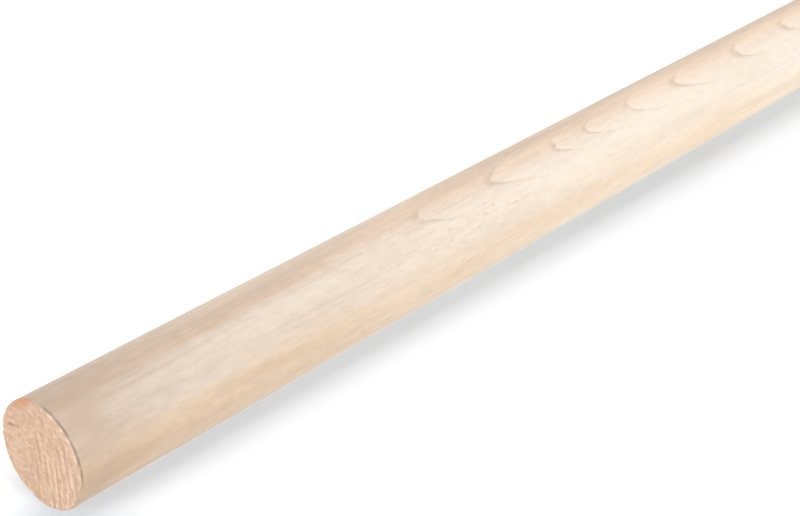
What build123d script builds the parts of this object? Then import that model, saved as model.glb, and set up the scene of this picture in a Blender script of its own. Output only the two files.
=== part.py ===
"""A round wooden dowel rod: one straight piece of solid hardwood, square at both sawn ends.

The rod stands on one end. Its frame has +Z up along the grain, and its origin is the
centre of the end that it stands on. All sizes are in millimetres.
"""

import os

from build123d import *

# Driving dimensions

rod_diameter = 20.0  # across the planed round
rod_length = 300.0  # from one sawn end to the other
arris_radius = 0.4  # the edge of each sawn end, rubbed just round enough not to splinter


# The rod: its round section drawn out along the grain, then the two arrises eased.
# The ends stay flat and square inside the arris, so that the rod stands on either one.

with BuildPart() as dowel_rod:
    with BuildSketch(Plane.XY) as round_section:
        Circle(radius=rod_diameter / 2)
    extrude(amount=rod_length)

    sawn_arrises = dowel_rod.edges().filter_by(GeomType.CIRCLE)
    fillet(sawn_arrises, radius=arris_radius)

dowel_rod.part.label = "dowel_rod"


# One STEP file for the one piece

os.makedirs("parts", exist_ok=True)
export_step(dowel_rod.part, "parts/dowel_rod.step")
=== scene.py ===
"""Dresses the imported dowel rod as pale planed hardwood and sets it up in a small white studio.

The rod stands on its far end. Its near end, the one the camera looks down on, is the top.
Sizes are in metres, as the frame's are, unless a name ends in _mm or _deg. Noise and cells are
given by how many of their lumps lie in a millimetre, across and along the grain.
"""

import functools
import logging
import math
from dataclasses import dataclass, field
from enum import Enum
from typing import Any

import bpy
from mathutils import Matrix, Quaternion, Vector

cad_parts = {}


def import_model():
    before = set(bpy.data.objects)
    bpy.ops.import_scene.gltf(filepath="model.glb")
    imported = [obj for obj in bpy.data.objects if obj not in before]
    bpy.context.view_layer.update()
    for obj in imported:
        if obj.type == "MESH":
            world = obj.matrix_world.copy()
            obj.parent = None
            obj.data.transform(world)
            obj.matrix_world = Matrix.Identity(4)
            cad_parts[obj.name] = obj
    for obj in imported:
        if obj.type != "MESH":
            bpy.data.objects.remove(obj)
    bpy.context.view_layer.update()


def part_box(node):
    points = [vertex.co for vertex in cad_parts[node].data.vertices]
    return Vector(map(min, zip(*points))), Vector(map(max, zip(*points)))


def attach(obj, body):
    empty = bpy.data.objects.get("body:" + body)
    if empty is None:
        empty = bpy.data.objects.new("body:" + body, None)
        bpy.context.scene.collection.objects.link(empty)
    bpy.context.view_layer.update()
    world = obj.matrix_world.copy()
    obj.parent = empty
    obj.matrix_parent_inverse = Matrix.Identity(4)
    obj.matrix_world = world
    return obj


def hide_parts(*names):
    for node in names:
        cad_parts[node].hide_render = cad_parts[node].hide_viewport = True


LOG = logging.getLogger("dowel_rod")

Colour = tuple[float, float, float]
Reach = tuple[float, float]
Socket = bpy.types.NodeSocket
Operand = Socket | Vector | float | Colour

MM = 0.001
NODE = "dowel_rod"
NOISE_RANGE = (0.3, 0.7)  # nearly all that a noise node gives lies between these
TINY = 1e-6  # keeps a division by a distance from failing on the axis


def from_srgb(red: int, green: int, blue: int) -> Colour:
    """Turns an 8-bit display colour into the linear one that a shader takes.

    Args:
        red: The red channel, 0 to 255.
        green: The green channel, 0 to 255.
        blue: The blue channel, 0 to 255.

    Returns:
        The linear red, green and blue, 0 to 1.
    """

    def channel(level: int) -> float:
        """Linear value of one channel."""
        share = level / 255
        return share / 12.92 if share <= 0.04045 else ((share + 0.055) / 1.055) ** 2.4

    return channel(red), channel(green), channel(blue)


def heading(azimuth_deg: float) -> Vector:
    """Level unit vector at an azimuth that is 0 along -Y and grows anticlockwise from above."""
    angle = math.radians(azimuth_deg)
    return Vector((math.sin(angle), -math.cos(angle), 0.0))


# Pale rubbed wood; also the colour of the painted highlight just inside each end's rim.
RUB_AND_HIGHLIGHT = from_srgb(244, 217, 194)
# Grime; also the colour of painted shade in the check and along the ends' edges.
GRIME_AND_SHADE = from_srgb(128, 94, 82)


@dataclass
class NodeBench:
    """Puts nodes into one shader or geometry tree and wires them up."""

    tree: bpy.types.NodeTree

    @classmethod
    def cleared(cls, holder: bpy.types.Material | bpy.types.World) -> "NodeBench":
        """Empties the node tree of a material or a world.

        Args:
            holder: The material or world.

        Returns:
            A bench for its tree.
        """
        holder.use_nodes = True
        holder.node_tree.nodes.clear()
        return cls(holder.node_tree)

    def add(self, kind: str, fed: dict[int | str, Any] | None = None,
            **settings: Any) -> bpy.types.Node:
        """Adds a node, sets its own properties and feeds its inputs.

        Args:
            kind: The node's type name.
            fed: What goes into its inputs, by their places or names.
            **settings: Properties of the node, such as operation or data_type.

        Returns:
            The new node.
        """
        node = self.tree.nodes.new(kind)
        for name, value in settings.items():
            setattr(node, name, value)
        for name, value in (fed or {}).items():
            self.feed(node.inputs[name], value)
        return node

    def feed(self, socket: Socket, value: Any) -> None:
        """Links a socket into an input, or writes a plain value there.

        Args:
            socket: The input to feed.
            value: Another node's output, or a value of the input's own kind.
        """
        if isinstance(value, Socket):
            self.tree.links.new(value, socket)
        elif isinstance(value, tuple) and len(socket.default_value) == 4:
            socket.default_value = (*value, 1.0)
        else:
            socket.default_value = value

    def maths(self, operation: str, *operands: Operand, clamp: bool = False) -> Socket:
        """Result of a Math node's operation, held between 0 and 1 if clamp says so."""
        fed = dict(enumerate(operands))
        return self.add("ShaderNodeMath", fed, operation=operation, use_clamp=clamp).outputs[0]

    def product(self, *factors: Operand) -> Socket:
        """Product of two or more numbers."""
        return functools.reduce(functools.partial(self.maths, "MULTIPLY"), factors)

    def vector(self, operation: str, *operands: Operand) -> Socket:
        """Adds a vector operation that gives a vector.

        Args:
            operation: The Vector Math node's operation.
            *operands: Its two vectors; SCALE takes a vector and a number.

        Returns:
            The vector result.
        """
        places = (0, "Scale") if operation == "SCALE" else (0, 1)
        node = self.add("ShaderNodeVectorMath", dict(zip(places, operands)), operation=operation)
        return node.outputs["Vector"]

    def measure(self, operation: str, first: Operand, second: Operand) -> Socket:
        """Number that a vector operation gives, such as DOT_PRODUCT or DISTANCE."""
        node = self.add("ShaderNodeVectorMath", {0: first, 1: second}, operation=operation)
        return node.outputs["Value"]

    def turned(self, place: Operand, angle: float) -> Socket:
        """Place turned about +Z by an angle in radians."""
        fed = {"Vector": place, "Angle": angle}
        return self.add("ShaderNodeVectorRotate", fed, rotation_type="Z_AXIS").outputs[0]

    def split(self, value: Operand) -> list[Socket]:
        """Parts of a vector, as X, Y and Z."""
        return list(self.add("ShaderNodeSeparateXYZ", {0: value}).outputs)

    def join(self, x: Operand, y: Operand, z: Operand) -> Socket:
        """Vector made of three numbers."""
        return self.add("ShaderNodeCombineXYZ", {0: x, 1: y, 2: z}).outputs[0]

    def span(self, value: Operand, low: Operand, high: Operand, start: Operand = 0.0,
             end: Operand = 1.0, eased: bool = True) -> Socket:
        """Maps a number from one range to another and holds it inside.

        Args:
            value: The number to map.
            low: The number that gives start.
            high: The number that gives end.
            start: The result at low.
            end: The result at high.
            eased: Whether the change eases in and out.

        Returns:
            The mapped number.
        """
        kind = "SMOOTHSTEP" if eased else "LINEAR"
        fed = dict(enumerate((value, low, high, start, end)))
        return self.add("ShaderNodeMapRange", fed, interpolation_type=kind, clamp=True).outputs[0]

    def lerp(self, share: Operand, off: Operand, on: Operand) -> Socket:
        """Number that is off at share 0, on at share 1 and in line between."""
        return self.span(share, 0.0, 1.0, off, on, eased=False)

    def noise(self, place: Operand, detail: float = 2.0, roughness: float = 0.5) -> Socket:
        """Smooth noise about 0.5 with one lump in each unit of place."""
        fed = {"Vector": place, "Scale": 1.0, "Detail": detail, "Roughness": roughness}
        return self.add("ShaderNodeTexNoise", fed, noise_dimensions="3D").outputs[0]

    def cells(self, place: Operand) -> Socket:
        """Distance to the middle of the nearest of many scattered cells, one per unit."""
        fed = {"Vector": place, "Scale": 1.0}
        return self.add("ShaderNodeTexVoronoi", fed, feature="F1").outputs["Distance"]

    def reach(self, x: Operand, y: Operand) -> Socket:
        """Length of the level vector x, y."""
        return self.maths("SQRT", self.maths("MULTIPLY_ADD", x, x, self.product(y, y)))

    def blend(self, share: Operand, first: Operand, second: Operand, kind: str = "MIX") -> Socket:
        """Mixes two colours.

        Args:
            share: How much of the second colour is used.
            first: The colour at share 0.
            second: The colour at share 1.
            kind: The blend type, such as MIX or MULTIPLY.

        Returns:
            The mixed colour.
        """
        node = self.add("ShaderNodeMix", data_type="RGBA", blend_type=kind)
        colours = [socket for socket in node.inputs if socket.type == "RGBA"]
        for socket, value in zip((node.inputs["Factor"], *colours), (share, first, second)):
            self.feed(socket, value)
        return next(socket for socket in node.outputs if socket.type == "RGBA")

    def seen_ray(self) -> Socket:
        """Tells which rays the camera sees straight, in gloss or through glass.

        Returns:
            1 for those rays, 0 for the others.
        """
        rays = self.add("ShaderNodeLightPath").outputs
        seen = (rays[f"Is {kind} Ray"] for kind in ("Camera", "Glossy", "Transmission"))
        return functools.reduce(functools.partial(self.maths, "MAXIMUM"), seen)


@dataclass(frozen=True)
class RodSizes:
    """The rod's sizes, read off the frame."""

    radius: float
    length: float

    @classmethod
    def from_frame(cls) -> "RodSizes":
        """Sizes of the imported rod."""
        low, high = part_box(NODE)
        return cls(radius=(high.x - low.x) / 2, length=high.z - low.z)

    @property
    def near_end(self) -> Vector:
        """Centre of the near end."""
        return Vector((0.0, 0.0, self.length))


@dataclass(frozen=True)
class StudioCamera:
    """A long lens that looks down on the rod's near end, tipped over so that the rod runs across.

    Attributes:
        azimuth_deg: Side of the rod that the camera is on.
        looks_down_deg: How far below level it looks.
        roll_deg: How far it is tipped about its own line of sight.
        lens_mm: Focal length.
        film_mm: Width of the film.
        near_end_radii: The near end's centre as the camera sees it, to the right, up and
            back, in rod radii.
        sees_to: How far it sees.
    """

    azimuth_deg: float = -5.8
    looks_down_deg: float = 41.89
    roll_deg: float = -118.57
    lens_mm: float = 80.55
    film_mm: float = 36.0
    near_end_radii: tuple[float, float, float] = (-5.822, -3.206, -29.004)
    sees_to: float = 20.0

    def place(self, rod: RodSizes) -> None:
        """Makes the camera and gives it to the scene.

        Args:
            rod: The rod that it looks at.
        """
        pitch = math.radians(self.looks_down_deg)
        back = heading(self.azimuth_deg) * math.cos(pitch) + Vector((0, 0, math.sin(pitch)))
        turn = (-back).to_track_quat("-Z", "Y") @ Quaternion((0, 0, 1), math.radians(self.roll_deg))
        seen = Vector(self.near_end_radii) * rod.radius

        data = bpy.data.cameras.new("studio_camera")
        data.sensor_width = self.film_mm
        data.lens = self.lens_mm
        data.clip_start = rod.radius
        data.clip_end = self.sees_to
        camera = bpy.data.objects.new("studio_camera", data)
        camera.rotation_mode = "QUATERNION"
        camera.rotation_quaternion = turn
        camera.location = rod.near_end - turn @ seen
        bpy.context.scene.collection.objects.link(camera)
        bpy.context.scene.camera = camera


@dataclass(frozen=True)
class Softbox:
    """One rectangular studio lamp, at a height and a reach from the rod's axis.

    It points at the height on the axis that aim_height gives.
    """

    name: str
    azimuth_deg: float
    height: float
    reach: float
    aim_height: float
    size: tuple[float, float]
    watts: float
    tint: Colour = (1.0, 1.0, 1.0)

    def hang(self) -> None:
        """Makes the lamp and hangs it."""
        data = bpy.data.lights.new(self.name, "AREA")
        data.shape = "RECTANGLE"
        data.size, data.size_y = self.size
        data.energy = self.watts
        data.color = self.tint
        lamp = bpy.data.objects.new(self.name, data)
        lamp.location = heading(self.azimuth_deg) * self.reach + Vector((0, 0, self.height))
        aim = Vector((0, 0, self.aim_height)) - lamp.location
        lamp.rotation_mode = "QUATERNION"
        lamp.rotation_quaternion = aim.to_track_quat("-Z", "Y")
        bpy.context.scene.collection.objects.link(lamp)


class StageSide(Enum):
    """Which sides of a stage surface show."""

    BOTH = "both"
    FRONT = "front"


@dataclass(frozen=True)
class LiftRamp:
    """Light that a stage surface adds with distance from the rod's axis.

    Attributes:
        start: Distance at which it starts.
        full: Distance at which it is full.
        light: What it adds there, or takes away where a channel is below zero.
    """

    start: float
    full: float
    light: Colour

    def raised(self, bench: NodeBench, away: Operand, lift: Operand) -> Socket:
        """Adds this ramp's light to the lift so far."""
        share = bench.span(away, self.start, self.full, eased=False)
        return bench.vector("ADD", lift, bench.vector("SCALE", self.light, share))


@dataclass(frozen=True)
class StagePaper:
    """White paper that keeps a soft grey shadow by the rod and stays white further off.

    Its lift is light that it adds for the camera alone. By the rod there is less of it, so that
    the shadow shows, and it is cooler than white, to make up for the warm light off the wood.

    Attributes:
        name: The material's name.
        side: Which sides show.
        rod: The rod that stands by it.
        foot_lift: Lift by the rod's foot.
        top_lift: Lift by the near end.
        lit_lift: What it adds on the side that the shadow doesn't fall on.
        ramps: What it adds with distance from the rod.
        tone: Reflectance of the paper.
        rise: Heights between which the foot's lift turns into the near end's.
        end_lift: What it adds off the near end.
        lit_azimuth_deg: The side that the shadow doesn't fall on, which the end lift is on too.
        lit_reach: Distances to that side between which the lit lift comes in.
        end_reach: The same for the end lift.
        end_rise: Heights over the near end between which the end lift comes in.
    """

    name: str
    side: StageSide
    rod: RodSizes
    foot_lift: Colour
    top_lift: Colour
    lit_lift: Colour
    ramps: tuple[LiftRamp, ...]
    tone: Colour = (0.70, 0.70, 0.70)
    rise: Reach = (0.140, 0.285)
    end_lift: Colour = (0.225, 0.205, 0.175)
    lit_azimuth_deg: float = 135.0
    lit_reach: Reach = (2.0 * MM, 9.0 * MM)
    end_reach: Reach = (-2.5 * MM, 5.5 * MM)
    end_rise: Reach = (-2.0 * MM, 1.0 * MM)

    def lift(self, bench: NodeBench) -> Socket:
        """Works out the light that the paper adds for the camera.

        Args:
            bench: The shader that is being built.

        Returns:
            The lift's colour.
        """
        place = bench.add("ShaderNodeTexCoord").outputs["Object"]
        x, y, z = bench.split(place)
        lift = bench.blend(bench.span(z, *self.rise, eased=False), self.foot_lift, self.top_lift)
        away = bench.reach(x, y)
        for ramp in self.ramps:
            lift = ramp.raised(bench, away, lift)
        beside = bench.measure("DOT_PRODUCT", place, heading(self.lit_azimuth_deg))
        lift = bench.blend(bench.span(beside, *self.lit_reach), lift, self.lit_lift, "ADD")
        end_rise = (self.rod.length + edge for edge in self.end_rise)
        off_end = bench.product(bench.span(beside, *self.end_reach), bench.span(z, *end_rise))
        return bench.blend(off_end, lift, self.end_lift, "ADD")

    def material(self) -> bpy.types.Material:
        """Makes the paper.

        Returns:
            The material.
        """
        material = bpy.data.materials.new(self.name)
        bench = NodeBench.cleared(material)
        paper = bench.add("ShaderNodeBsdfDiffuse", {"Color": self.tone}).outputs[0]
        glow = bench.add("ShaderNodeEmission", {
            "Color": self.lift(bench), "Strength": bench.seen_ray()}).outputs[0]
        shown = bench.add("ShaderNodeAddShader", {0: paper, 1: glow}).outputs[0]
        if self.side is StageSide.FRONT:
            clear = bench.add("ShaderNodeBsdfTransparent").outputs[0]
            behind = bench.add("ShaderNodeNewGeometry").outputs["Backfacing"]
            shown = bench.add("ShaderNodeMixShader", {0: behind, 1: shown, 2: clear}).outputs[0]
        bench.add("ShaderNodeOutputMaterial", {"Surface": shown})
        return material


@dataclass(frozen=True)
class Studio:
    """Floor, backdrop, lamps and surrounding light.

    Attributes:
        floor_side: Width of the square floor.
        floor_lift: Lift of the floor by the rod.
        floor_ramps: How the floor's lift grows away from the rod.
        backdrop_side: Width and height of the upright sheet behind the rod.
        backdrop_azimuth_deg: Way that the sheet faces.
        backdrop_gap: Space between the rod and the sheet at the near end.
        backdrop_foot_gap: Space between the rod and the sheet at the floor.
        backdrop_lifts: The sheet's foot, top and lit lifts.
        backdrop_ramps: How the sheet's lift changes over the shadow and beyond.
        ambient: Strength of the light from all round.
        softboxes: The lamps.
    """

    floor_side: float = 6.0
    floor_lift: Colour = (0.20, 0.21, 0.22)
    floor_ramps: tuple[LiftRamp, ...] = (LiftRamp(0.020, 0.120, (0.57, 0.56, 0.53)),)
    backdrop_side: float = 0.60
    backdrop_azimuth_deg: float = 45.0
    backdrop_gap: float = 0.3 * MM
    backdrop_foot_gap: float = 3.0 * MM
    backdrop_lifts: tuple[Colour, Colour, Colour] = (
        (0.147, 0.235, 0.318), (0.277, 0.353, 0.420), (0.055, 0.050, 0.030),
    )
    backdrop_ramps: tuple[LiftRamp, ...] = (
        LiftRamp(0.0115, 0.0160, (0.027, -0.016, -0.051)),
        LiftRamp(0.0165, 0.0300, (0.18, 0.115, 0.055)),
        LiftRamp(0.0240, 0.0700, (0.42, 0.445, 0.455)),
    )
    ambient: float = 0.32
    softboxes: tuple[Softbox, ...] = (
        Softbox("key_softbox", 38.2, 0.10, 0.52, 0.06, (0.38, 0.38), 1.72, (0.96, 0.98, 1.0)),
        Softbox("fill_softbox", -61.0, 0.10, 0.52, 0.06, (0.42, 0.42), 1.75, (1.0, 0.96, 0.90)),
        Softbox("top_softbox", 14.0, 1.00, 0.15, 0.25, (0.50, 0.50), 4.4),
        Softbox("back_softbox", 168.0, 0.20, 0.60, 0.12, (0.50, 0.50), 2.6, (1.0, 0.99, 0.97)),
    )

    def sheet(self, name: str, corners: list[Vector], paper: StagePaper) -> bpy.types.Object:
        """Makes one flat stage surface.

        Args:
            name: The object's name.
            corners: Its four corners, anticlockwise from the side that faces out.
            paper: What it is made of.

        Returns:
            The stage object.
        """
        mesh = bpy.data.meshes.new(name)
        mesh.from_pydata([tuple(corner) for corner in corners], [], [(0, 1, 2, 3)])
        mesh.materials.append(paper.material())
        sheet = bpy.data.objects.new(name, mesh)
        bpy.context.scene.collection.objects.link(sheet)
        return sheet

    def lay_floor(self, rod: RodSizes) -> None:
        """Lays the floor.

        Args:
            rod: The rod that stands on it.
        """
        half = self.floor_side / 2
        signs = ((-1, -1), (1, -1), (1, 1), (-1, 1))
        corners = [Vector((x * half, y * half, 0.0)) for x, y in signs]
        paper = StagePaper("floor_paper", StageSide.BOTH, rod, self.floor_lift, self.floor_lift,
                           (0.0, 0.0, 0.0), self.floor_ramps)
        self.sheet("floor", corners, paper)

    def hang_backdrop(self, rod: RodSizes) -> None:
        """Hangs the sheet close behind the rod, upright, shown to the camera alone.

        Args:
            rod: The rod that it stands behind.
        """
        out = heading(self.backdrop_azimuth_deg)
        along = Vector((0, 0, 1)).cross(out)
        half = self.backdrop_side / 2
        foot = -out * (rod.radius + self.backdrop_foot_gap)
        lean = (self.backdrop_foot_gap - self.backdrop_gap) / rod.length
        rise = Vector((0, 0, self.backdrop_side)) + out * (lean * self.backdrop_side)
        corners = [
            foot + along * (side * half) + rise * level
            for side, level in ((-1, 0), (1, 0), (1, 1), (-1, 1))
        ]
        paper = StagePaper("backdrop_paper", StageSide.FRONT, rod, *self.backdrop_lifts,
                           self.backdrop_ramps)
        sheet = self.sheet("backdrop", corners, paper)
        sheet.visible_diffuse = False
        sheet.visible_glossy = False
        sheet.visible_transmission = False
        sheet.visible_shadow = False

    def fill_round(self) -> None:
        """Sets the even light from all round, which looks white where nothing stands."""
        world = bpy.data.worlds.new("studio_light")
        bpy.context.scene.world = world
        bench = NodeBench.cleared(world)
        strength = bench.span(bench.seen_ray(), 0.0, 1.0, self.ambient, 1.0, eased=False)
        fed = {"Color": (1.0, 1.0, 1.0), "Strength": strength}
        glow = bench.add("ShaderNodeBackground", fed).outputs[0]
        bench.add("ShaderNodeOutputWorld", {"Surface": glow})

    def set_up(self, rod: RodSizes) -> None:
        """Builds the whole studio round the rod.

        Args:
            rod: The rod that it is built for.
        """
        self.lay_floor(rod)
        self.hang_backdrop(rod)
        self.fill_round()
        for softbox in self.softboxes:
            softbox.hang()
        bpy.context.scene.view_settings.view_transform = "Standard"


@dataclass(frozen=True)
class Figure:
    """Where a place lies in the rod, in mm, ready for the marks to be read off.

    Attributes:
        bench: The tree that is being built.
        place: The place, X towards the rings' tongues and Z along the rod from its far end.
        x: Its part towards the tongues.
        y: Its part across them.
        spoke: Its distance from the rod's axis.
        inside: Its distance from the rod's side.
        from_near_end: Its distance from the near end.
        from_end: Its distance from whichever end is closer.
        from_edge: Its distance from that end's edge.
        radius: The rod's radius.
        length: The rod's length.
        tongue_azimuth_deg: Side of the rod that X points to.
    """

    bench: NodeBench
    place: Socket
    x: Socket
    y: Socket
    spoke: Socket
    inside: Socket
    from_near_end: Socket
    from_end: Socket
    from_edge: Socket
    radius: float
    length: float
    tongue_azimuth_deg: float

    @classmethod
    def read(cls, bench: NodeBench, position: Operand, rod: RodSizes,
             tongue_azimuth_deg: float) -> "Figure":
        """Turns an object position into the rod's own measures.

        Args:
            bench: The tree that is being built.
            position: The position in metres.
            rod: The rod's sizes.
            tongue_azimuth_deg: Side of the rod that the tongues run down.

        Returns:
            The measures.
        """
        side = heading(tongue_azimuth_deg)
        turned = bench.turned(position, -math.atan2(side.y, side.x))
        place = bench.vector("SCALE", turned, 1 / MM)
        x, y, z = bench.split(place)
        radius, length = rod.radius / MM, rod.length / MM
        spoke = bench.reach(x, y)
        inside = bench.maths("SUBTRACT", radius, spoke)
        from_near_end = bench.maths("SUBTRACT", length, z)
        from_end = bench.maths("MINIMUM", z, from_near_end)
        return cls(bench, place, x, y, spoke, inside, from_near_end, from_end,
                   bench.reach(inside, from_end), radius, length, tongue_azimuth_deg)

    def stretched(self, across: float, along: float) -> Socket:
        """Place scaled to so many lumps in a mm across and along the grain."""
        return self.bench.vector("MULTIPLY", self.place, (across, across, along))

    def noise(self, across: float, along: float, detail: float = 2.0,
              roughness: float = 0.5) -> Socket:
        """Noise with so many lumps in a mm across and along the grain."""
        return self.bench.noise(self.stretched(across, along), detail, roughness)

    def side(self, azimuth_deg: float) -> Vector:
        """Unit vector in this figure's own axes that points to a side of the rod."""
        turn = math.radians(azimuth_deg - self.tongue_azimuth_deg)
        return Vector((math.cos(turn), math.sin(turn), 0.0))

    def towards(self, azimuth_deg: float) -> Socket:
        """How far a place lies towards a side of the rod, in mm."""
        return self.bench.measure("DOT_PRODUCT", self.place, self.side(azimuth_deg))

    def facing(self, azimuth_deg: float) -> Socket:
        """Cosine of the angle round the rod between a place and a side."""
        out = self.bench.maths("MAXIMUM", self.spoke, TINY / MM)
        return self.bench.maths("DIVIDE", self.towards(azimuth_deg), out)


class Gauge(Enum):
    """Which of a figure's own measures is read."""

    FRONT = "x"
    ACROSS = "y"
    INSIDE = "inside"
    FROM_END = "from_end"
    FROM_EDGE = "from_edge"
    FROM_NEAR_END = "from_near_end"

    def read(self, figure: Figure) -> Socket:
        """Reads the measure, in mm."""
        return getattr(figure, self.value)


@dataclass(frozen=True)
class Facing:
    """Reads how squarely the wood faces a side of the rod."""

    azimuth_deg: float

    def read(self, figure: Figure) -> Socket:
        """Reads the cosine of the angle between them."""
        return figure.facing(self.azimuth_deg)


@dataclass(frozen=True)
class Towards:
    """Reads how far a place lies towards a side of the rod."""

    azimuth_deg: float

    def read(self, figure: Figure) -> Socket:
        """Reads the distance, in mm."""
        return figure.towards(self.azimuth_deg)


@dataclass(frozen=True)
class Noise:
    """Reads smooth noise in the wood.

    Attributes:
        across: Lumps in a mm across the grain.
        along: Lumps in a mm along it.
        detail: Octaves of finer noise.
        roughness: How strong the finer octaves are.
    """

    across: float
    along: float
    detail: float = 2.0
    roughness: float = 0.5

    def read(self, figure: Figure) -> Socket:
        """Reads the noise."""
        return figure.noise(self.across, self.along, self.detail, self.roughness)


@dataclass(frozen=True)
class Specks:
    """Reads how far it is to the nearest of many scattered specks.

    Attributes:
        across: Specks in a mm across the grain.
        along: Specks in a mm along it.
        shift: Moves the specks off others' places.
    """

    across: float
    along: float
    shift: Colour = (0.0, 0.0, 0.0)

    def read(self, figure: Figure) -> Socket:
        """Reads the distance, in specks."""
        place = figure.stretched(self.across, self.along)
        return figure.bench.cells(figure.bench.vector("ADD", place, self.shift))


@dataclass(frozen=True)
class RimSpot:
    """Reads how far it is to a spot on the near end's rim, on a side of the rod."""

    azimuth_deg: float

    def read(self, figure: Figure) -> Socket:
        """Reads the distance, in mm."""
        spot = figure.side(self.azimuth_deg) * figure.radius + Vector((0, 0, figure.length))
        return figure.bench.measure("DISTANCE", figure.place, spot)


@dataclass(frozen=True)
class Fade:
    """A share that changes between two readings and is level beyond them.

    Attributes:
        source: What is read.
        low: Reading that gives start.
        high: Reading that gives end.
        start: The share at low.
        end: The share at high.
        eased: Whether the change eases in and out.
    """

    source: Gauge | Facing | Towards | Noise | Specks | RimSpot
    low: float
    high: float
    start: float = 0.0
    end: float = 1.0
    eased: bool = True

    def share(self, figure: Figure) -> Socket:
        """Works out the share at a place."""
        reading = self.source.read(figure)
        return figure.bench.span(reading, self.low, self.high, self.start, self.end, self.eased)


Rules = tuple[Fade, ...]


def combined(figure: Figure, rules: Rules) -> Socket:
    """Product of the shares that some rules give at a place."""
    return figure.bench.product(*(rule.share(figure) for rule in rules))


@dataclass(frozen=True)
class Mark:
    """A colour that is laid over the wood where its rules allow.

    Attributes:
        tint: The colour.
        rules: What its share is the product of.
    """

    tint: Colour
    rules: Rules

    def laid(self, figure: Figure, colour: Operand) -> Socket:
        """Lays the mark over the colour so far."""
        return figure.bench.blend(combined(figure, self.rules), colour, self.tint)


@dataclass(frozen=True)
class GrowthRings:
    """The tree's growth rings, as cones about a pith that leans away from the rod.

    The rings cut the rod's side in a row of blunt tongues. A place's age is its distance
    from the pith, less that distance at the near end's edge below the tongues.

    Attributes:
        pith_mm: How far the pith is from the rod's axis at the near end.
        lean: How much further it is for each length along the rod.
        first_age_mm: Age at which the listed years start.
        widths_mm: Width of each year's wood, from the pith outwards.
        swings: How a ring strays from its true round, in mm: broadly, less broadly and where
            its edge is frayed.
    """

    pith_mm: float = 27.0
    lean: float = 0.062
    first_age_mm: float = -20.0
    widths_mm: tuple[float, ...] = (
        1.7, 1.5, 1.4, 1.6, 1.3, 1.5, 1.7, 1.4, 1.2, 1.5, 1.6, 1.3, 1.5, 1.9,
        1.4, 1.45, 1.65, 1.4, 1.3, 0.7, 1.05, 1.15, 1.5, 1.35, 1.55, 1.5,
    )
    swings: tuple[Rules, ...] = (
        (Fade(Noise(0.16, 0.02, 1.0), *NOISE_RANGE, -0.10, 0.10, eased=False),),
        (Fade(Noise(0.55, 0.10, 1.0), *NOISE_RANGE, -0.036, 0.036, eased=False),),
        (Fade(Noise(2.2, 0.45), *NOISE_RANGE, -1.0, 1.0, eased=False),
         Fade(Gauge.FROM_NEAR_END, 84.0, 118.0, 0.062, 0.022)),
    )

    def age(self, figure: Figure) -> Socket:
        """Finds how old the wood is at a place.

        Args:
            figure: The place.

        Returns:
            The age in mm of growth.
        """
        bench = figure.bench
        lean = bench.maths("MULTIPLY_ADD", figure.from_near_end, self.lean, self.pith_mm)
        from_pith = bench.reach(bench.maths("ADD", figure.x, lean), figure.y)
        age = bench.maths("SUBTRACT", from_pith, self.pith_mm + figure.radius)
        for swing in self.swings:
            age = bench.maths("ADD", age, combined(figure, swing))
        return age

    def year(self, figure: Figure) -> Socket:
        """Finds how far through its year the wood is at a place.

        Args:
            figure: The place.

        Returns:
            0 where a year's wood starts, near 1 where it ends.
        """
        bench = figure.bench
        reach = sum(self.widths_mm)
        grown = bench.maths("SUBTRACT", self.age(figure), self.first_age_mm)
        calendar = bench.add("ShaderNodeFloatCurve", {
            "Value": bench.maths("DIVIDE", grown, reach)})
        points = calendar.mapping.curves[0].points
        count = len(self.widths_mm)
        passed = 0.0
        for number, width in enumerate(self.widths_mm[:-1], start=1):
            passed += width
            points.new(passed / reach, number / count)
        for point in points:
            point.handle_type = "VECTOR"
        calendar.mapping.update()
        return bench.maths("FRACT", bench.product(calendar.outputs[0], float(count)))


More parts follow.
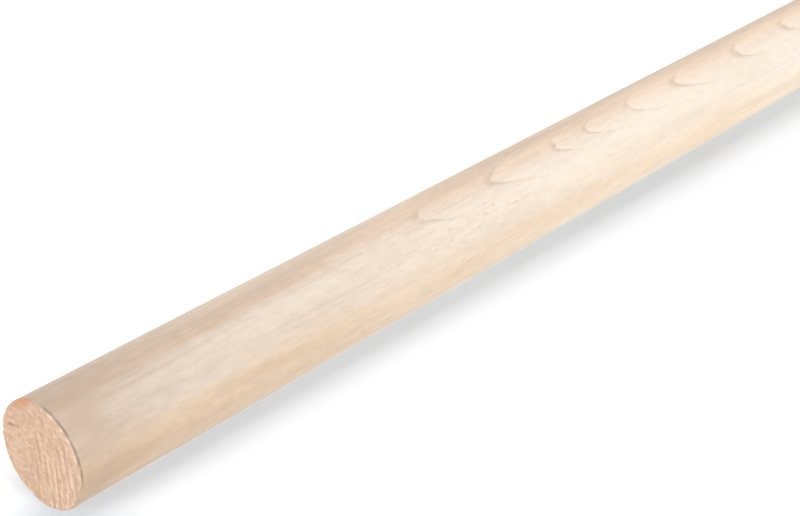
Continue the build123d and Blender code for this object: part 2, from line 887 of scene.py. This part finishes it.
@dataclass(frozen=True)
class SawnEnd:
    """What a circular saw leaves at a sawn end of the rod.

    Attributes:
        cut: Colour of the sawn wood.
        dark: Colour of its open pores, rings and grooves.
        light: Colour of its ridges.
        check_shade: Painted shade in the bottom of the check.
        blotches: The darker blotches.
        kerf_azimuth_deg: Side of the end that the saw marks bow towards.
        kerf_radius_mm: Radius of the marks, which are arcs of the saw's rim.
        kerf_pitch_mm: Space from one mark to the next.
        kerf_depth_mm: Depth of the grooves between the ridges.
        kerf_patches: Where the marks are strong.
        kerf_fade: Fades the marks out on the clean side of the end.
        pore_depth_mm: Depth of the torn pores.
        pore_patches: Where the round pores are open.
        pore_drag: Where the saw dragged the pores out.
        check_depth_mm: Depth of the short drying check.
        check_spoke_mm: Distance from the axis to its middle.
        check_turn_deg: How far it is turned from pointing at the axis.
        check_reach_mm: Half its length and half its width.
        check_bend: How far it is bent, in mm.
        check_end: Keeps the check to the near end.
        ridge_share: How strongly the ridges are coloured.
        torn_share: The same for the pores and the check.
    """

    cut: Colour = from_srgb(219, 185, 158)
    dark: Colour = from_srgb(188, 148, 121)
    light: Colour = RUB_AND_HIGHLIGHT
    # Painted shade: darkens the bottom of the check.
    check_shade: Colour = GRIME_AND_SHADE
    blotches: Fade = Fade(Noise(0.28, 0.28), 0.40, 0.65, 0.0, 0.35)
    kerf_azimuth_deg: float = -39.8
    kerf_radius_mm: float = 42.0
    kerf_pitch_mm: float = 1.42
    kerf_depth_mm: float = 0.04
    kerf_patches: Fade = Fade(Noise(0.35, 0.35), 0.34, 0.56, 0.35, 1.0)
    kerf_fade: Fade = Fade(Towards(45.0), 0.5, 4.5, 1.0, 0.25)
    pore_depth_mm: float = 0.036
    pore_patches: Fade = Fade(Noise(0.5, 0.5), 0.36, 0.58, 0.25, 1.0)
    pore_drag: Fade = Fade(Towards(-39.8), -7.0, 0.0)
    check_depth_mm: float = 0.15
    check_azimuth_deg: float = 111.4
    check_spoke_mm: float = 7.4
    check_turn_deg: float = 38.0
    check_reach_mm: tuple[float, float] = (1.9, 0.25)
    check_bend: Fade = Fade(Noise(1.1, 1.1, 1.0), *NOISE_RANGE, -0.2, 0.2)
    check_end: Fade = Fade(Gauge.FROM_NEAR_END, 0.5, 1.0, 1.0, 0.0)
    ridge_share: float = 0.55
    torn_share: float = 0.60

    def drawn(self, figure: Figure, lumps: Colour, detail: float = 2.0,
              roughness: float = 0.6) -> Socket:
        """Noise in lumps across the saw's marks, along them and along the grain."""
        return figure.bench.noise(self.by_kerf(figure, lumps), detail, roughness)

    def by_kerf(self, figure: Figure, lumps: Colour) -> Socket:
        """Place turned to the saw's marks and scaled."""
        turn = math.radians(self.kerf_azimuth_deg - figure.tongue_azimuth_deg)
        return figure.bench.vector("MULTIPLY", figure.bench.turned(figure.place, -turn), lumps)

    def ridge(self, figure: Figure) -> Socket:
        """Shapes the saw's marks.

        Args:
            figure: The place.

        Returns:
            0 in a groove or off the marks, 1 on a ridge.
        """
        bench = figure.bench
        hub = figure.side(self.kerf_azimuth_deg) * -self.kerf_radius_mm
        x, y, _ = bench.split(bench.vector("SUBTRACT", figure.place, hub))
        reach = bench.reach(x, y)
        ripple = figure.noise(0.30, 0.30, detail=1.0)
        phase = bench.maths("ADD", bench.maths("DIVIDE", reach, self.kerf_pitch_mm), ripple)
        wave = bench.maths("SINE", bench.product(phase, 2 * math.pi))
        outwards = bench.maths("SUBTRACT", reach, self.kerf_radius_mm)
        return bench.product(bench.span(wave, -0.4, 1.0), bench.span(outwards, -1.5, 3.5, 0.1),
                             combined(figure, (self.kerf_patches, self.kerf_fade)))

    def pores(self, figure: Figure) -> Socket:
        """Shapes the torn wood: round pores, dragged out where the saw's marks are.

        Args:
            figure: The place.

        Returns:
            0 where the wood is whole, 1 in the bottom of a pore.
        """
        bench = figure.bench
        stray = figure.noise(0.9, 0.9, detail=1.0)
        spread = bench.vector("ADD", self.by_kerf(figure, (0.46, 0.82, 0.5)),
                              bench.join(stray, stray, 0.0))
        ringed = bench.product(bench.span(bench.cells(spread), 0.14, 0.40, 1.0, 0.0),
                               self.pore_patches.share(figure))
        dragged = self.drawn(figure, (1.35, 0.18, 0.6), 1.0, 0.5)
        dragged = bench.span(dragged, 0.50, 0.68)
        return bench.lerp(self.pore_drag.share(figure), ringed, dragged)

    def check(self, figure: Figure) -> Socket:
        """Shapes the drying check at the near end.

        Args:
            figure: The place.

        Returns:
            1 in its middle, 0 away from it.
        """
        bench = figure.bench
        middle = figure.side(self.check_azimuth_deg) * self.check_spoke_mm
        line = figure.side(self.check_azimuth_deg + self.check_turn_deg)
        offset = bench.vector("SUBTRACT", figure.place, middle)
        along, across, _ = bench.split(bench.turned(offset, -math.atan2(line.y, line.x)))
        across = bench.maths("ADD", across, self.check_bend.share(figure))
        half_length, half_width = self.check_reach_mm
        away = bench.reach(bench.maths("DIVIDE", along, half_length),
                           bench.maths("DIVIDE", across, half_width))
        return bench.product(bench.span(away, 0.3, 1.3, 1.0, 0.0), self.check_end.share(figure))

    def depth(self, figure: Figure) -> Socket:
        """Adds up how far the saw and the drying cut below a flat end.

        Args:
            figure: The place.

        Returns:
            The depth in mm.
        """
        bench = figure.bench
        groove = bench.maths("SUBTRACT", 1.0, self.ridge(figure))
        depth = bench.product(groove, self.kerf_depth_mm)
        depth = bench.maths("MULTIPLY_ADD", self.pores(figure), self.pore_depth_mm, depth)
        return bench.maths("MULTIPLY_ADD", self.check(figure), self.check_depth_mm, depth)

    def colour(self, figure: Figure, year: Operand) -> Socket:
        """Colours a sawn end: blotches, grain, rings, saw marks, open pores and painted shade in
        the check.

        Args:
            figure: The place.
            year: How far through its year the wood is.

        Returns:
            The colour.
        """
        bench = figure.bench
        grain = self.drawn(figure, (0.75, 1.3, 1.0))
        colour = self.cut
        for strength, tint in (
            (self.blotches.share(figure), self.dark),
            (bench.span(grain, 0.46, 0.34, 0.0, 0.45), self.light),
            (bench.span(grain, 0.54, 0.68, 0.0, 0.30), self.dark),
            (bench.span(year, 0.72, 1.0, 0.0, 0.35), self.dark),
            (bench.product(self.ridge(figure), self.ridge_share), self.light),
            (bench.product(self.pores(figure), self.torn_share), self.dark),
            # Painted shade in the check.
            (bench.product(self.check(figure), self.torn_share), self.check_shade),
        ):
            colour = bench.blend(strength, colour, tint)
        return colour


@dataclass(frozen=True)
class EasedEdge:
    """Wear along the eased edge between an end and the side.

    Attributes:
        chip_depth_mm: Depth of the largest chips.
        chips: Where the edge is chipped.
        rim_highlight: Painted highlight: a bright stretch just inside the rim, on the side that
            faces the camera.
        scorch: The stretch of the near end's rim that the saw scorched.
        rim_shade_line: Painted shade with some grime: a dark line beside the edge, strongest on the
            side that faces the camera.
    """

    chip_depth_mm: float = 0.22
    chips: Rules = (
        Fade(Gauge.FROM_EDGE, 0.2, 0.75, 1.0, 0.0),
        Fade(Noise(0.75, 0.75, 3.0, 0.6), 0.52, 0.68),
    )
    # Painted highlight: a bright stretch just inside each end's rim, on the side that faces the
    # camera.
    rim_highlight: Mark = Mark(RUB_AND_HIGHLIGHT, (
        Fade(Gauge.INSIDE, 0.05, 0.25),
        Fade(Gauge.INSIDE, 0.45, 0.95, 0.9, 0.0),
        Fade(Gauge.FROM_END, 0.08, 0.25, 1.0, 0.0),
        Fade(Noise(0.8, 0.8), 0.45, 0.62),
        Fade(Facing(-8.0), 0.55, 0.95),
    ))
    scorch: Mark = Mark(from_srgb(208, 148, 106), (
        Fade(RimSpot(68.0), 1.14, 3.8, 0.8, 0.0),
        Fade(Gauge.INSIDE, 0.5, 1.9, 1.0, 0.0),
        Fade(Gauge.FROM_NEAR_END, 0.25, 1.3, 1.0, 0.0),
    ))
    # Painted shade with some grime: a dark line along each end's edge, strongest on the side that
    # faces the camera.
    rim_shade_line: Mark = Mark(GRIME_AND_SHADE, (
        Fade(Gauge.FROM_END, 0.0496, 0.205),
        Fade(Gauge.FROM_END, 0.415, 0.5704, 0.68, 0.0),
        Fade(Noise(0.5, 0.5, 3.0, 0.6), 0.38, 0.58, 0.45, 1.0),
        Fade(Gauge.INSIDE, 0.25, 0.45, 1.0, 0.0),
        Fade(Facing(-8.0), 0.60, 0.86, 0.08, 1.0),
    ))

    def worn(self, figure: Figure, colour: Operand) -> Socket:
        """Adds the scorch, the painted highlight and the painted shade line to the colour so far.
        """
        highlit_and_scorched = self.scorch.laid(figure, self.rim_highlight.laid(figure, colour))
        return self.rim_shade_line.laid(figure, highlit_and_scorched)


@dataclass(frozen=True)
class PaintedLightStripe:
    """A stripe of painted shade or painted light that runs along one side of the rod, by the edges
    the camera sees.

    Attributes:
        azimuth_deg: Side of the rod that it runs down.
        half_width_deg: Angle from its middle to where it has gone.
        near_share: How strong it is at the near end.
        far_share: How strong it is at the far end.
        turn_mm: Distances from the near end between which the one turns into the other.
        tint: What the wood's colour is multiplied by in it.
        stray: How its edge strays, as a cosine.
        full: Cosine at which it is at its strongest.
    """

    azimuth_deg: float
    half_width_deg: float
    near_share: float
    far_share: float
    turn_mm: Reach
    tint: Colour
    stray: Fade = Fade(Noise(0.5, 0.03), *NOISE_RANGE, -0.04, 0.04, eased=False)
    full: float = 0.99

    def paint_light_and_shade(self, figure: Figure, colour: Operand) -> Socket:
        """Paints the stripe's shade or light into the colour.

        Args:
            figure: The place.
            colour: The colour so far.

        Returns:
            The colour with the stripe.
        """
        bench = figure.bench
        facing = bench.maths("ADD", figure.facing(self.azimuth_deg), self.stray.share(figure))
        strength = bench.product(
            bench.span(facing, math.cos(math.radians(self.half_width_deg)), self.full),
            bench.span(figure.from_near_end, *self.turn_mm, self.near_share, self.far_share))
        return bench.blend(strength, colour, self.tint, "MULTIPLY")


@dataclass(frozen=True)
class Tone:
    """A colour of the side that fades from the near end along the rod; the fade is partly wood and
    partly painted shade.

    Attributes:
        near: The colour at the near end.
        far: What it fades to.
        half_mm: Length in which half of the near end's tone is lost.
    """

    near: Colour
    far: Colour
    half_mm: float = 70.0

    def faded(self, figure: Figure, drift: Operand) -> Socket:
        """Mixes the tone at a place.

        Args:
            figure: The place.
            drift: What is added to the share of the near end's tone that is left.

        Returns:
            The colour.
        """
        maths = figure.bench.maths
        left = maths("POWER", 0.5, maths("DIVIDE", figure.from_near_end, self.half_mm))
        return figure.bench.blend(maths("ADD", drift, left, clamp=True), self.far, self.near)


@dataclass(frozen=True)
class PlanedSide:
    """The planed and sanded side, with its stripes, tongues, rays and pores, and painted sheen,
    light and shade.

    Attributes:
        tan: The wood's main tone.
        rosy: Its tone beside the tongues.
        sheen_cream: Its tone in the creamy stripe, a painted sheen.
        drift: How unevenly the tones fade.
        stray: How the stripes' edges stray, as a cosine.
        rosy_turn_deg: How far round from the tongues the rosy wood is.
        rosy_edge: Cosines between which it comes in.
        sheen_azimuth_deg: Side that the painted sheen runs down, the side that faces the camera.
        sheen_edge: Cosine at which the painted sheen starts.
        mottle: What the colour is multiplied by in small clouds.
        lively: Strength of the fine grain, which is calmer further along the rod.
        smudge: What the colour is multiplied by in larger clouds.
        smudged: Strength of those, which is greatest by the near end.
        edge_shading: Stripes of painted shade and painted light along the rod's edges as the camera
            sees them.
        tips: Keeps the rings' lines to the tongues.
        flank: Brings them back beside the tongues.
        clear: How clear they are elsewhere.
        ring_patches: How strong their dark lines are.
        late: Thin dark line that ends each year's wood.
        early: Paler wood at the start of a year.
        fleck: Colour of the dark ray flecks and the fine pores.
        crowd: Where the ray flecks are many.
        marks: The pale and dark ray flecks, the fine pores, the pits in the patch by the first
            tongues and the darker stretch by the near end, which is partly painted shade.
    """

    # Each tone is darker at the near end and paler at the far end. This is partly the wood and
    # partly painted shade and light, standing in for light that grows along the rod.
    tan: Tone = Tone(from_srgb(209, 180, 151), from_srgb(248, 229, 205))
    rosy: Tone = Tone(from_srgb(197, 170, 147), from_srgb(245, 217, 191))
    # Painted sheen: the creamy stripe runs down the side that faces the camera.
    sheen_cream: Tone = Tone(from_srgb(208, 190, 173), from_srgb(240, 227, 212), 48.0)
    drift: Fade = Fade(Noise(0.30, 0.035), *NOISE_RANGE, -0.12, 0.12)
    stray: Fade = Fade(Noise(0.75, 0.025, 3.0), *NOISE_RANGE, -0.055, 0.055, eased=False)
    rosy_turn_deg: float = 30.0
    rosy_edge: Reach = (0.35, 0.85)
    sheen_azimuth_deg: float = -4.0
    sheen_edge: Fade = Fade(Gauge.FROM_NEAR_END, 10.0, 100.0, 0.86, 0.72)
    mottle: Fade = Fade(Noise(0.9, 0.30, 3.0, 0.6), *NOISE_RANGE, 0.955, 1.045, eased=False)
    lively: Fade = Fade(Gauge.FROM_NEAR_END, 70.0, 150.0, 1.0, 0.65)
    smudge: Fade = Fade(Noise(0.42, 0.26), 0.33, 0.67, 0.955, 1.035, eased=False)
    smudged: Fade = Fade(Gauge.FROM_NEAR_END, 0.0, 60.0, 1.0, 0.25)
    # Painted shade and light: darker, paler, cooler and warmer stripes along the rod's edges as the
    # camera sees them.
    edge_shading: tuple[PaintedLightStripe, ...] = (
        PaintedLightStripe(-100.0, 38.0, 1.0, 0.15, (30.0, 130.0), (0.93, 0.905, 0.89)),
        PaintedLightStripe(70.0, 36.0, 0.0, 1.0, (40.0, 140.0), (0.80, 0.79, 0.785)),
        PaintedLightStripe(84.0, 43.0, 0.0, 1.0, (145.0, 170.0), (0.89, 0.89, 0.89)),
        PaintedLightStripe(86.0, 60.0, 1.0, 0.0, (60.0, 115.0), (1.03, 1.09, 1.15)),
        PaintedLightStripe(-64.0, 28.0, 1.0, 0.1, (15.0, 60.0), (1.07, 1.08, 1.10)),
        PaintedLightStripe(-60.0, 60.0, 0.0, 1.0, (185.0, 225.0), (1.02, 1.07, 1.14)),
        PaintedLightStripe(-84.0, 33.0, 0.0, 1.0, (165.0, 200.0), (1.0, 0.95, 0.90)),
    )
    tips: Rules = (
        Fade(Gauge.ACROSS, -4.6, -1.2, 0.12, 1.0),
        Fade(Gauge.ACROSS, 0.6, 3.0, 1.0, 0.12),
    )
    flank: Fade = Fade(Gauge.ACROSS, 4.5, 7.0, 0.0, 0.35)
    clear: Rules = (
        Fade(Gauge.FRONT, 0.0, 6.0, 0.45, 1.0),
        Fade(Gauge.FROM_NEAR_END, 48.0, 105.0, 0.10, 1.0),
    )
    ring_patches: Fade = Fade(Noise(0.6, 0.12), 0.3, 0.55, 0.15, 0.38)
    late: Colour = from_srgb(188, 156, 130)
    early: Colour = from_srgb(250, 232, 214)
    fleck: Colour = from_srgb(200, 168, 138)
    crowd: Fade = Fade(Noise(0.22, 0.03), 0.38, 0.6, 0.3, 1.0)
    marks: tuple[Mark, ...] = (
        Mark(early, (Fade(Specks(1.05, 0.22, (31.0, 17.0, 5.0)), 0.12, 0.40, 0.8, 0.0),
                     Fade(Gauge.FROM_NEAR_END, 10.0, 110.0, 0.12, 0.42), crowd)),
        Mark(fleck, (Fade(Specks(1.25, 0.26), 0.10, 0.36, 0.20, 0.0), crowd, lively)),
        Mark(fleck, (Fade(Noise(3.4, 0.30), 0.52, 0.72, 0.0, 0.16), lively)),
        Mark(fleck, (Fade(Noise(1.7, 0.014), 0.56, 0.66, 0.0, 0.16), lively)),
        Mark(late, (Fade(Specks(0.95, 0.36), 0.10, 0.34, 0.30, 0.0),
                    Fade(Noise(0.5, 0.16, 1.0), 0.42, 0.60),
                    Fade(Gauge.FROM_NEAR_END, 86.0, 100.0),
                    Fade(Gauge.FROM_NEAR_END, 142.0, 126.0),
                    Fade(Facing(0.0), 0.93, 0.985))),
        # Partly painted shade: the wood darkens within 20 mm of the near end.
        Mark(rosy.near, (Fade(Gauge.FROM_NEAR_END, 1.0, 20.0, 0.60, 0.0),
                         Fade(Noise(0.32, 0.12, 3.0), 0.35, 0.6, 0.1, 1.0))),
    )

    def striped(self, figure: Figure) -> Socket:
        """Lays the tan and rosy stripes, the painted sheen, the clouds and the painted shade and
        light along the edges.

        Args:
            figure: The place.

        Returns:
            The colour.
        """
        bench = figure.bench
        drift, stray = self.drift.share(figure), self.stray.share(figure)
        tan, rosy, sheen_cream = (tone.faded(figure, drift) for tone in (self.tan, self.rosy, self.sheen_cream))
        by_tongues, by_sheen = (
            bench.maths("ADD", figure.facing(azimuth_deg), stray)
            for azimuth_deg in (figure.tongue_azimuth_deg + self.rosy_turn_deg,
                                self.sheen_azimuth_deg)
        )
        colour = bench.blend(bench.span(by_tongues, *self.rosy_edge), tan, rosy)
        # Painted sheen down the side that faces the camera.
        pale = bench.span(by_sheen, self.sheen_edge.share(figure), 1.0)
        colour = bench.blend(pale, colour, sheen_cream)
        for strength, cloud in ((self.lively, self.mottle), (self.smudged, self.smudge)):
            colour = bench.blend(strength.share(figure), colour, cloud.share(figure), "MULTIPLY")
        # Painted shade and light along the rod's edges.
        for streak in self.edge_shading:
            colour = streak.paint_light_and_shade(figure, colour)
        return colour

    def colour(self, figure: Figure, year: Operand) -> Socket:
        """Colours the side, with the growth rings' tongues and their straight flanks.

        Args:
            figure: The place.
            year: How far through its year the wood is.

        Returns:
            The colour.
        """
        bench = figure.bench
        by_tips = bench.maths("MAXIMUM", combined(figure, self.tips), self.flank.share(figure))
        shown = bench.product(by_tips, combined(figure, self.clear))
        line = bench.maths("MAXIMUM", bench.span(year, 0.87, 0.975),
                           bench.span(year, 0.0, 0.035, 1.0, 0.0))
        line = bench.product(line, self.ring_patches.share(figure))
        colour = self.striped(figure)
        for strength, tint in (
            (bench.span(year, 0.02, 0.5, 0.25, 0.0), self.early),
            (bench.span(year, 0.55, 1.0, 0.0, 0.07), self.late),
            (line, self.late),
        ):
            colour = bench.blend(bench.product(strength, shown), colour, tint)
        for mark in self.marks:
            colour = mark.laid(figure, colour)
        return colour


@dataclass(frozen=True)
class PlanedWood:
    """Pale, close-grained hardwood, planed round, sanded and left bare.

    Attributes:
        rod: The rod's sizes.
        rings: How the growth rings run.
        side: The planed side.
        sawn: The sawn ends.
        edge: The eased edges.
        tongue_azimuth_deg: Side of the rod that the rings' tongues run down.
        roughness: Roughness of the sanded side.
        cut_roughness: Roughness of the sawn ends.
        fibre_height: Height of the finest fibres on the side.
        torn_height: Height of the finest torn fibres on the sawn ends.
    """

    rod: RodSizes
    rings: GrowthRings = field(default_factory=GrowthRings)
    side: PlanedSide = field(default_factory=PlanedSide)
    sawn: SawnEnd = field(default_factory=SawnEnd)
    edge: EasedEdge = field(default_factory=EasedEdge)
    tongue_azimuth_deg: float = 26.5
    roughness: float = 0.5
    cut_roughness: float = 0.85
    fibre_height: float = 0.012 * MM
    torn_height: float = 0.09 * MM

    def relief(self, figure: Figure, end_grain: Operand) -> Socket:
        """Adds the fine relief that is too small for the mesh.

        Args:
            figure: The place.
            end_grain: 1 on a sawn end, 0 on the side.

        Returns:
            The bent normal.
        """
        bench = figure.bench
        fibre = figure.noise(4.5, 0.25, 3.0)
        torn = self.sawn.drawn(figure, (1.2, 2.0, 1.9))
        height = bench.lerp(end_grain, bench.product(fibre, self.fibre_height),
                            bench.product(torn, self.torn_height))
        fed = {"Strength": 1.0, "Distance": 1.0, "Height": height}
        return bench.add("ShaderNodeBump", fed).outputs[0]

    def material(self) -> bpy.types.Material:
        """Makes the wood.

        Returns:
            The material.
        """
        material = bpy.data.materials.new("planed_hardwood")
        bench = NodeBench.cleared(material)
        position = bench.add("ShaderNodeTexCoord").outputs["Object"]
        figure = Figure.read(bench, position, self.rod, self.tongue_azimuth_deg)
        end_grain = bench.add("ShaderNodeAttribute", attribute_name="end_grain").outputs["Fac"]
        year = self.rings.year(figure)
        colour = bench.blend(end_grain, self.side.colour(figure, year),
                             self.sawn.colour(figure, year))
        skin = bench.add("ShaderNodeBsdfPrincipled", {
            # worn adds the scorch, the painted rim highlight and the painted shade line.
            "Base Color": self.edge.worn(figure, colour),
            "Roughness": bench.lerp(end_grain, self.roughness, self.cut_roughness),
            "Normal": self.relief(figure, end_grain),
        })
        bench.add("ShaderNodeOutputMaterial", {"Surface": skin.outputs[0]})
        return material


@dataclass(frozen=True)
class TurnedRod:
    """The rod's skin as a fine mesh: a drawn round with two sawn ends and eased edges.

    Attributes:
        rod: The rod's sizes.
        wood: The wood, which says what relief the tools left.
        arris: Radius of the eased edge at each end.
        worn: How far the side is worn down between the raised grain, in mm.
        rim: Makes the saw's marks shallow near the side.
        core_mm: Distance from the side at which the side's marks are full.
        columns: Faces round the rod.
        rows: Faces along its side.
        rings: Faces from the middle of an end to its edge.
        arris_rows: Faces across each half of the eased edge.
    """

    rod: RodSizes
    wood: PlanedWood
    arris: float = 0.4 * MM
    worn: Fade = Fade(Noise(1.1, 0.09), *NOISE_RANGE, 0.025, 0.0, eased=False)
    rim: Fade = Fade(Gauge.INSIDE, 0.4, 1.2, 0.25, 1.0)
    core_mm: float = 1.0
    columns: int = 240
    rows: int = 320
    rings: int = 40
    arris_rows: int = 3

    def shape(self, bench: NodeBench, position: Operand, radius: Operand, length: Operand,
              arris: Operand) -> tuple[Socket, Socket]:
        """Bends a plain cylinder of radius 1 and height 2 into the rod.

        Args:
            bench: The geometry tree that is being built.
            position: Where a point of the plain cylinder is.
            radius: The rod's radius.
            length: The rod's length.
            arris: Radius of the eased edges.

        Returns:
            Where the point goes, and 1 on a sawn end falling to 0 on the side.
        """
        x, y, z = bench.split(position)
        spoke = bench.reach(x, y)
        from_middle = bench.maths("ABSOLUTE", z)
        on_end = bench.maths("GREATER_THAN", from_middle, 1.0 - 0.1 / self.rows)

        flat_share = 1.0 - self.arris_rows / self.rings
        side_share = 1.0 - 2.0 * self.arris_rows / self.rows
        half_bend, full_bend = math.pi / 4, math.pi / 2
        end_bend = bench.span(spoke, flat_share, 1.0, 0.0, half_bend, eased=False)
        side_bend = bench.span(from_middle, 1.0, side_share, half_bend, full_bend, eased=False)
        bend = bench.lerp(on_end, side_bend, end_bend)
        cut_share = bench.lerp(on_end, 0.0, bench.span(spoke, flat_share, 1.0, 1.0, 0.0))
        flat = bench.lerp(on_end, 1.0, bench.span(spoke, 0.0, flat_share, eased=False))
        straight = bench.span(from_middle, side_share, 0.0, eased=False)
        straight = bench.lerp(on_end, straight, 0.0)

        core = bench.maths("SUBTRACT", radius, arris)
        out = bench.maths("MULTIPLY_ADD", flat, core,
                          bench.product(arris, bench.maths("SINE", bend)))
        drop = bench.product(arris, bench.maths("SUBTRACT", 1.0, bench.maths("COSINE", bend)))
        half = bench.product(length, 0.5)
        run = bench.product(straight, bench.maths("SUBTRACT", half, arris))
        level = bench.maths("SUBTRACT", half, bench.maths("ADD", drop, run))
        level = bench.maths("MULTIPLY_ADD", level, bench.maths("SIGN", z), half)
        scale = bench.maths("DIVIDE", out, bench.maths("MAXIMUM", spoke, TINY))
        return bench.join(bench.product(x, scale), bench.product(y, scale), level), cut_share

    def carve(self, bench: NodeBench, position: Operand, upright: Operand,
              cut_share: Operand) -> Socket:
        """Works the tools' marks into the shape.

        Args:
            bench: The geometry tree that is being built.
            position: Where a point of the smooth rod is.
            upright: 1 in the upper half of the rod and -1 in the lower one.
            cut_share: 1 on a sawn end and 0 on the side.

        Returns:
            How far the point moves.
        """
        figure = Figure.read(bench, position, self.rod, self.wood.tongue_azimuth_deg)
        x, y, _ = bench.split(position)
        edge = self.wood.edge
        chip = bench.product(combined(figure, edge.chips), edge.chip_depth_mm)
        sunk = bench.product(self.wood.sawn.depth(figure), self.rim.share(figure))
        sunk = bench.maths("MULTIPLY_ADD", sunk, cut_share, chip)
        on_side = bench.maths("SUBTRACT", 1.0, cut_share)
        worn = bench.maths("MULTIPLY_ADD", self.worn.share(figure), on_side, chip)
        pull = bench.maths("DIVIDE", bench.product(worn, -MM),
                           bench.maths("MAXIMUM", bench.reach(x, y), TINY))
        pull = bench.product(pull, bench.span(figure.spoke, 0.0, figure.radius - self.core_mm))
        fall = bench.product(sunk, -MM, upright)
        return bench.join(bench.product(x, pull), bench.product(y, pull), fall)

    def tree(self, finish: bpy.types.Material) -> bpy.types.GeometryNodeTree:
        """Builds the geometry tree that makes the skin.

        Args:
            finish: The material that the skin wears.

        Returns:
            The tree.
        """
        tree = bpy.data.node_groups.new("turned_rod", "GeometryNodeTree")
        for name in ("Radius", "Length", "Arris"):
            tree.interface.new_socket(name, in_out="INPUT", socket_type="NodeSocketFloat")
        tree.interface.new_socket("Geometry", in_out="OUTPUT", socket_type="NodeSocketGeometry")
        bench = NodeBench(tree)
        given = bench.add("NodeGroupInput").outputs
        blank = bench.add("GeometryNodeMeshCylinder", {
            "Vertices": self.columns, "Side Segments": self.rows, "Fill Segments": self.rings,
            "Radius": 1.0, "Depth": 2.0,
        }, fill_type="TRIANGLE_FAN")
        where = bench.add("GeometryNodeInputPosition").outputs[0]
        shaped, cut_share = self.shape(
            bench, where, given["Radius"], given["Length"], given["Arris"])
        upright = bench.maths("SIGN", bench.split(where)[2])

        mark = bench.add("GeometryNodeStoreNamedAttribute", {
            "Geometry": blank.outputs["Mesh"], "Name": "end_grain", "Value": cut_share,
        }, data_type="FLOAT", domain="POINT")
        move = bench.add("GeometryNodeSetPosition", {
            "Geometry": mark.outputs[0], "Position": shaped,
            "Offset": self.carve(bench, shaped, upright, cut_share),
        })
        smooth = bench.add("GeometryNodeSetShadeSmooth", {"Geometry": move.outputs[0]})
        real = bench.add("GeometryNodeRealizeInstances", {0: smooth.outputs[0]})
        wear = bench.add("GeometryNodeSetMaterial", {
            "Geometry": real.outputs[0], "Material": finish})
        bench.add("NodeGroupOutput", {0: wear.outputs[0]})
        return tree

    def build(self) -> bpy.types.Object:
        """Makes the rod's skin as a plain mesh that rides on the frame.

        Returns:
            The finished piece.
        """
        tree = self.tree(self.wood.material())
        mesh = bpy.data.meshes.new("planed_rod")
        piece = bpy.data.objects.new("planed_rod", mesh)
        bpy.context.scene.collection.objects.link(piece)
        modifier = piece.modifiers.new("turned_rod", "NODES")
        modifier.node_group = tree
        sizes = {"Radius": self.rod.radius, "Length": self.rod.length, "Arris": self.arris}
        for item in tree.interface.items_tree:
            if item.item_type == "SOCKET" and item.in_out == "INPUT":
                modifier[item.identifier] = sizes[item.name]
        graph = bpy.context.evaluated_depsgraph_get()
        made = bpy.data.meshes.new_from_object(piece.evaluated_get(graph), depsgraph=graph)
        piece.modifiers.clear()
        piece.data = made
        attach(piece, "root")
        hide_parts(NODE)
        return piece


def main() -> None:
    """Builds the dressed rod and its studio, in order."""
    logging.basicConfig(level=logging.INFO, format="%(name)s: %(message)s")
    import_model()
    rod = RodSizes.from_frame()
    LOG.info("rod radius %.4f m, length %.4f m", rod.radius, rod.length)

    StudioCamera().place(rod)
    Studio().set_up(rod)
    LOG.info("studio set up")

    piece = TurnedRod(rod, PlanedWood(rod)).build()
    LOG.info("%s: %d faces", piece.name, len(piece.data.polygons))


if __name__ == "__main__":
    main()
